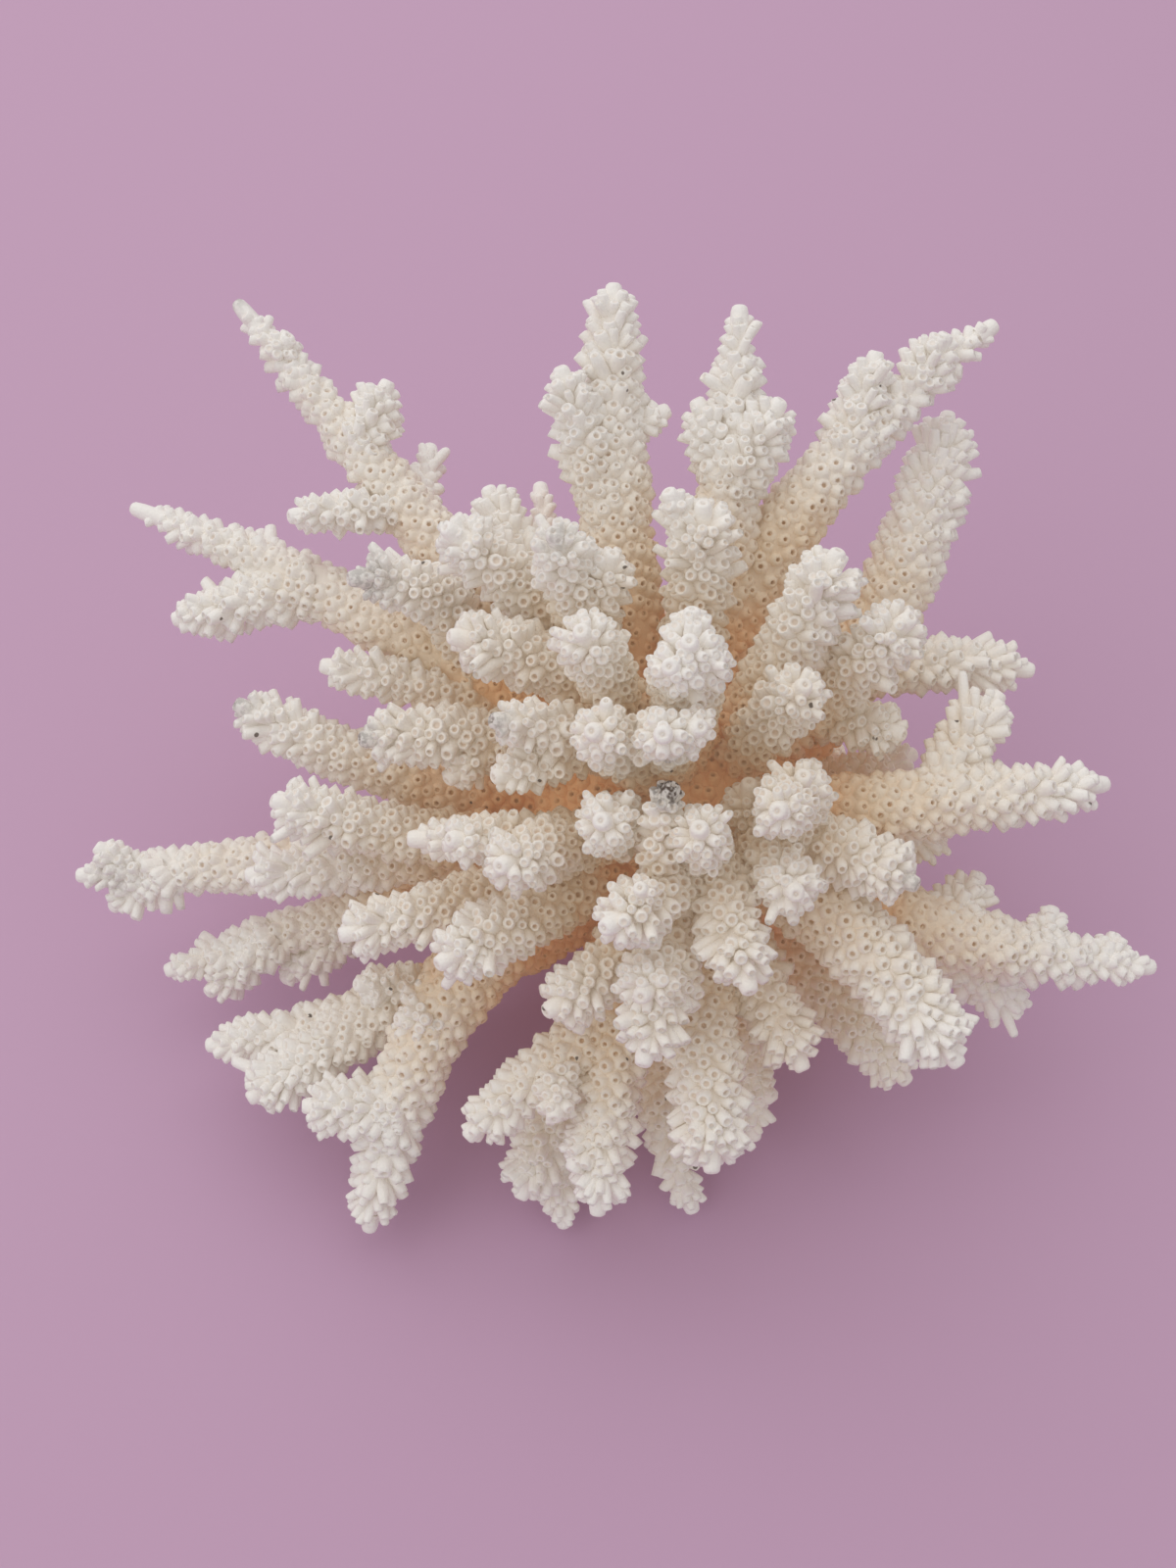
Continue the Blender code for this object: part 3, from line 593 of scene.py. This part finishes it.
def tone_of(tree, place, age):
    """How tan the skeleton looks, from 0 to 1: by how deep in the colony it lies, which is partly its
    age and partly painted shade, by how far from its limb's tip, and a little unevenly in patches."""
    centre = Vector(GROWTH_CENTRE * METRES_PER_MM)
    # Partly painted shade: the skeleton turns tan towards the growth centre, deep in the colony.
    deep = add_node(tree, "ShaderNodeVectorMath", {0: place, 1: centre}, operation="DISTANCE")
    inner = add_node(tree, "ShaderNodeMapRange", {
        "Value": deep.outputs["Value"], "From Min": OUTER * METRES_PER_MM,
        "From Max": INNER * METRES_PER_MM, "To Min": 0.0, "To Max": INNER_TONE}).outputs[0]
    aged = add_node(tree, "ShaderNodeMapRange", {
        "Value": age, "From Min": YOUNG, "From Max": OLD, "To Min": YOUNG_TONE,
        "To Max": OLD_TONE}).outputs[0]
    patches = add_node(tree, "ShaderNodeTexNoise", {
        "Vector": place, "Scale": per_metre(PATCH), "Detail": 8.0}).outputs[0]
    low, high = PATCH_NOISE
    uneven = add_node(tree, "ShaderNodeMapRange", {
        "Value": patches, "From Min": low, "From Max": high, "To Min": -PATCH_TONE,
        "To Max": PATCH_TONE}).outputs[0]
    both = add_node(tree, "ShaderNodeMath", {0: inner, 1: aged}, operation="ADD").outputs[0]
    return add_node(tree, "ShaderNodeMath", {0: both, 1: uneven}, operation="ADD").outputs[0]


def toned(tree, tone):
    """The skeleton's colour, read from its tone."""
    ramp = add_node(tree, "ShaderNodeValToRGB", {"Fac": tone})
    stops = ramp.color_ramp.elements  # a new ramp has a stop at 0 and one at 1
    stops[0].color, stops[1].color = colour(TONES[0][1]), colour(TONES[-1][1])
    for position, code in TONES[1:-1]:
        stops.new(position).color = colour(code)
    return ramp.outputs[0]


def laid_over(tree, under, over, thickness):
    """One colour laid over another as thickly as a share says."""
    return add_node(tree, "ShaderNodeMix", {0: thickness, 6: under, 7: colour(over)},
                    data_type="RGBA").outputs[2]


def hole_shade_and_stain(tree, tone, hollow):
    """How thickly the hole colour lies: painted shade in the holes, at the cups' roots and between the
    cups, partly brown stain; pale in a young cup and dark in an old one.
    """
    depth = add_node(tree, "ShaderNodeMapRange", {
        "Value": tone, "From Min": 0.0, "From Max": INNER_TONE, "To Min": YOUNG_HOLE,
        "To Max": OLD_HOLE}).outputs[0]
    return add_node(tree, "ShaderNodeMath", {0: depth, 1: hollow}, operation="MULTIPLY").outputs[0]


def black_specks(tree, place):
    """How thickly black specks lie, which have grown on the surface here and there: a round dot at
    the middle of some cells of an uneven net."""
    spots = add_node(tree, "ShaderNodeTexVoronoi", {"Vector": place, "Scale": per_metre(SPECK_SPACING)})
    spot = add_node(tree, "ShaderNodeMapRange", {
        "Value": spots.outputs["Distance"], "From Min": SPECK_EDGE, "From Max": SPECK_CORE,
        "To Min": 0.0, "To Max": SPECK_STRENGTH}).outputs[0]
    chance = add_node(tree, "ShaderNodeSeparateColor", {"Color": spots.outputs["Color"]}).outputs[0]
    some = add_node(tree, "ShaderNodeMath", {0: chance, 1: SPECKLESS}, operation="GREATER_THAN")
    return add_node(tree, "ShaderNodeMath", {0: spot, 1: some.outputs[0]},
                    operation="MULTIPLY").outputs[0]


def soot(tree, place, dirt):
    """How thickly grey dust and soot lie, in fine grains."""
    grains = add_node(tree, "ShaderNodeTexNoise", {
        "Vector": place, "Scale": per_metre(SOOT_GRAIN), "Detail": 2.0}).outputs[0]
    between, on_them = SOOT_NOISE
    grain = add_node(tree, "ShaderNodeMapRange", {
        "Value": grains, "From Min": between, "From Max": on_them, "To Min": THIN_SOOT,
        "To Max": 1.0}).outputs[0]
    return add_node(tree, "ShaderNodeMath", {0: dirt, 1: grain}, operation="MULTIPLY").outputs[0]


def open_mesh(tree, place):
    """The bumps of the skeleton's fine open mesh: its pores, set in a coarser grit."""
    pores = add_node(tree, "ShaderNodeTexVoronoi", {
        "Vector": place, "Scale": per_metre(PORE)}).outputs["Distance"]
    grit = add_node(tree, "ShaderNodeTexNoise", {
        "Vector": place, "Scale": per_metre(GRIT), "Detail": 3.0}).outputs[0]
    rough = add_node(tree, "ShaderNodeMath", {0: pores, 1: grit}, operation="ADD").outputs[0]
    return add_node(tree, "ShaderNodeBump", {
        "Height": rough, "Strength": MESH_STRENGTH,
        "Distance": MESH_DEPTH * METRES_PER_MM}).outputs[0]


def bleached_coral():
    """Coral skeleton: aragonite laid down by polyps in a fine open mesh, then bleached by the sun.
    The open mesh gives it a chalky, finely pitted surface with hardly any gloss."""
    material = bpy.data.materials.new("bleached coral skeleton")
    material.use_nodes = True
    tree = material.node_tree
    shader = tree.nodes["Principled BSDF"]
    place = add_node(tree, "ShaderNodeTexCoord").outputs["Object"]
    age, hollow, dirt = (add_node(tree, "ShaderNodeAttribute", attribute_name=name).outputs["Fac"]
                         for name in ("age", "hollow", "dirt"))
    tone = tone_of(tree, place, age)
    # Painted shade in the holes, at the cups' roots and in the crevices, partly brown stain.
    surface = laid_over(tree, toned(tree, tone), HOLE_SHADE_AND_STAIN, hole_shade_and_stain(tree, tone, hollow))
    surface = laid_over(tree, surface, SPECK, black_specks(tree, place))
    surface = laid_over(tree, surface, SOOT, soot(tree, place, dirt))
    tree.links.new(surface, shader.inputs["Base Color"])
    tree.links.new(open_mesh(tree, place), shader.inputs["Normal"])
    # Painted glow: a faint warm emission that lightens the whole skeleton, shade and crevices included.
    shader.inputs["Emission Color"].default_value = colour(PAINTED_GLOW_COLOUR)
    shader.inputs["Emission Strength"].default_value = PAINTED_GLOW_STRENGTH
    shader.inputs["Roughness"].default_value = 0.75
    shader.inputs["Specular IOR Level"].default_value = 0.3
    return material


# Dust and soot cling to the tips of a few branches, in soft-edged patches.  For each: the branch, the
# share of its length where the patch's middle lies, how far it spreads in mm, and how thickly.
DIRT = [
    ("crown_stained", 1.0, 4.6, 1.8),
    ("left_back_upper", 0.93, 6.5, 0.6),
    ("left_rising", 1.0, 4.2, 0.65),
    ("left_middle", 1.0, 4.2, 0.75),
    ("crown_left", 1.0, 4.0, 0.75),
    ("crown_back_left", 0.98, 4.0, 0.5),
    ("right_upper", 1.0, 4.2, 0.55),
    ("left_long", 0.93, 6.0, 0.35),
    ("back_left_long", 1.0, 3.0, 0.6),
]


def dirt_at(points):
    """How thickly the dirt lies at each point: it thins evenly from the middle of its patch."""
    depth = np.zeros(len(points))
    for node, share, spread, thickness in DIRT:
        middle = point_at(stems[node], share)
        depth = np.maximum(depth, thickness * (1 - np.linalg.norm(points - middle, axis=1) / spread))
    return np.minimum(depth, 1)


def quad_mesh(name, points, quads):
    """A mesh of four-sided faces from points in millimetres."""
    mesh = bpy.data.meshes.new(name)
    mesh.vertices.add(len(points))
    mesh.vertices.foreach_set("co", points.ravel() * METRES_PER_MM)
    mesh.loops.add(quads.size)
    mesh.loops.foreach_set("vertex_index", quads.ravel())
    mesh.polygons.add(len(quads))
    mesh.polygons.foreach_set("loop_start", np.arange(len(quads)) * 4)
    return mesh


def coral_piece(node, surfaces, material):
    """One mesh from several surfaces, which stands for its node."""
    sizes = np.cumsum([0] + [len(surface.points) for surface in surfaces])
    points = np.concatenate([surface.points for surface in surfaces])
    quads = np.concatenate([surface.quads + first for surface, first in zip(surfaces, sizes)])
    mesh = quad_mesh(node + "_cups", points, quads)
    marks = {name: np.concatenate([getattr(surface, name) for surface in surfaces])
             for name in ("age", "hollow")}
    for name, values in dict(marks, dirt=dirt_at(points)).items():
        attribute = mesh.attributes.new(name, "FLOAT", "POINT")
        attribute.data.foreach_set("value", values.astype(np.float32))
    mesh.update(calc_edges=True)
    mesh.shade_smooth()
    mesh.materials.append(material)
    piece = bpy.data.objects.new(node + "_cups", mesh)
    bpy.context.scene.collection.objects.link(piece)
    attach(piece, "root")
    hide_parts(node)


SEED = 7
coral = bleached_coral()
stems, limbs = grow()
random = np.random.default_rng(SEED)


def limb_surfaces(node):
    """The skin, the axial cup and the side cups of every limb of one node."""
    found = []
    for one in limbs:
        if one.node == node:
            found += [skin_of(one), axial_cup(one)] + cups_of(one, limbs, random)
    return found


for node in BRANCHES:
    coral_piece(node, limb_surfaces(node), coral)


# The base is the oldest part: a stalk that was cut off flat, swelling into the head that all the
# branches spring from.  Its cups are low mounds, strewn a little more thinly on the stalk, which is
# paler than the head.  The cut shows the skeleton's open mesh.
BASE_RINGS, BASE_SIDES = 6, 48  # rings between one point of the profile and the next
BARE_FOOT = 2.0  # no cups below this height
HEAD_CUP_LENGTH, HEAD_CUP_RADIUS = 1.7, 1.1
HEAD_PITCH = 2.7  # from one cup to the next
HEAD_LEAN_UP = radians(18)  # the cups lean this far upwards from square to the surface,
HEAD_SLANT = radians(10)  # and their mouths are tilted up by this much
TURN_STRAY = 0.05  # how far a cup strays round the base, in radians
STALK_HEIGHTS, STALK_SHARE = [0, 20], [0.8, 1.0]  # the share of the cups that are there, by height
PALE_HEIGHTS, HEAD_AGES = [0, 30], [14, 60]  # how old the base looks, by height
CUT_RINGS, CUT_MIDDLE = 12, 0.02  # the cut's rings end at this share of its radius
LUMPS = [  # waves round the base, the angle where they start, how high they are, and their climb
    (3, 0.4, 0.030, 0.11),
    (5, 1.9, 0.022, -0.07),
    (8, 4.0, 0.014, 0.19),
]


def smooth_rows(rows, steps):
    """Rows read more finely along a Catmull-Rom curve, which passes through each of them."""
    rows = np.asarray(rows, float)
    padded = np.concatenate([2 * rows[:1] - rows[1:2], rows, 2 * rows[-1:] - rows[-2:-1]])
    before, here, after, next_ = (padded[at:len(rows) - 1 + at, None] for at in range(4))
    t = np.linspace(0, 1, steps, endpoint=False)[None, :, None]
    curve = 0.5 * (2 * here + (after - before) * t + (2 * before - 5 * here + 4 * after - next_) * t ** 2
                   + (3 * here - before - 3 * after + next_) * t ** 3)
    return np.concatenate([curve.reshape(-1, rows.shape[1]), rows[-1:]])


def lumpy(height, turn):
    """How many times its radius the base is wide there: 1 and the sum of the waves that climb round
    it, each its size times the sine of count * turn + start + climb * height."""
    return 1 + sum(size * np.sin(count * turn + start + climb * height)
                   for count, start, size, climb in LUMPS)


def base_skin(profile):
    """Rings round the shifting middle of the profile, with lumps that fade out at the foot."""
    height, radius, shift = (column[:, None] for column in profile.T)
    turn = np.linspace(0, 2 * pi, BASE_SIDES, endpoint=False)[None]
    swell = 1 + (lumpy(height, turn) - 1) * np.clip(height / BARE_FOOT, 0, 1)
    reach = np.maximum(radius, SKIN_END) * swell
    middle = shift[..., None] * HEAD_SHIFT
    ring = np.stack([reach * np.cos(turn), reach * np.sin(turn), height + 0 * turn], axis=-1)
    points = (middle + ring).reshape(-1, 3)
    top = end_cap(BASE_SIDES) + (len(profile) - 1) * BASE_SIDES
    return Surface(points, np.concatenate([ring_quads(len(profile), BASE_SIDES), top]),
                   np.interp(points[:, 2], PALE_HEIGHTS, HEAD_AGES), np.full(len(points), SKIN_PAINTED_SHADE))


def head_cups(profile, limbs, random):
    """Low cups over the head and the stalk, each square to the surface but for a lean upwards."""
    height, radius, shift = profile.T
    rise, widen = np.gradient(height), np.gradient(radius)
    area = 2 * pi * radius * np.hypot(rise, widen)
    number = np.cumsum(area) / (HEAD_PITCH ** 2 * sqrt(3) / 2)
    order = np.arange(0.5, number[-1])
    turn = order * GOLDEN + random.normal(0, TURN_STRAY, len(order))
    level, reach, moved = (np.interp(order, number, column) for column in (height, radius, shift))
    outward = np.stack([np.cos(turn), np.sin(turn), 0 * turn], axis=-1)
    up = np.array([0.0, 0.0, 1.0])
    # how far a cup leans out from straight up
    facing = np.interp(order, number, np.arctan2(rise, -widen)) - HEAD_LEAN_UP
    facing = np.maximum(facing, 0.0)[:, None]
    along = np.cos(facing) * up + np.sin(facing) * outward
    away = np.cos(facing) * outward - np.sin(facing) * up
    swollen = reach * lumpy(level, turn)
    surface = moved[:, None] * HEAD_SHIFT + swollen[:, None] * outward + level[:, None] * up
    seats = surface - CUP_SUNK * along
    share = np.interp(level, STALK_HEIGHTS, STALK_SHARE)
    kept = (level > BARE_FOOT) & (random.uniform(0, 1, len(order)) < share)
    kept &= clear_of(seats + HEAD_CUP_LENGTH * along, None, limbs)
    seats, along, away = seats[kept], along[kept], away[kept]
    ones = np.ones(len(seats))
    profiles = np.broadcast_to(CUP_PROFILES[-1], (len(seats),) + CUP_PROFILES.shape[1:])
    return cups(profiles, OLD_SIDES, seats, along, away, HEAD_CUP_RADIUS * ones,
                HEAD_CUP_LENGTH * ones, HEAD_SLANT * ones,
                np.interp(seats[:, 2], PALE_HEIGHTS, HEAD_AGES))


def sawn_face(profile):
    """The flat cut: rings from the foot's edge to its middle."""
    reach = profile[0, 1] * np.linspace(1, CUT_MIDDLE, CUT_RINGS)[:, None]
    turn = np.linspace(0, 2 * pi, BASE_SIDES, endpoint=False)[None]
    ring = np.stack([reach * np.cos(turn), reach * np.sin(turn), 0 * reach * turn], axis=-1)
    points = ring.reshape(-1, 3)
    middle = end_cap(BASE_SIDES) + (CUT_RINGS - 1) * BASE_SIDES
    quads = np.concatenate([ring_quads(CUT_RINGS, BASE_SIDES), middle])[:, ::-1]
    return Surface(points, quads, np.full(len(points), HEAD_AGES[0]),
                   np.full(len(points), SKIN_PAINTED_SHADE))


profile = smooth_rows(BASE_PROFILE, BASE_RINGS)
profile[:, 1] = np.maximum(profile[:, 1], 0.0)
surfaces = [base_skin(profile), head_cups(profile, limbs, random), sawn_face(profile)]
coral_piece("base", surfaces + limb_surfaces("base"), coral)
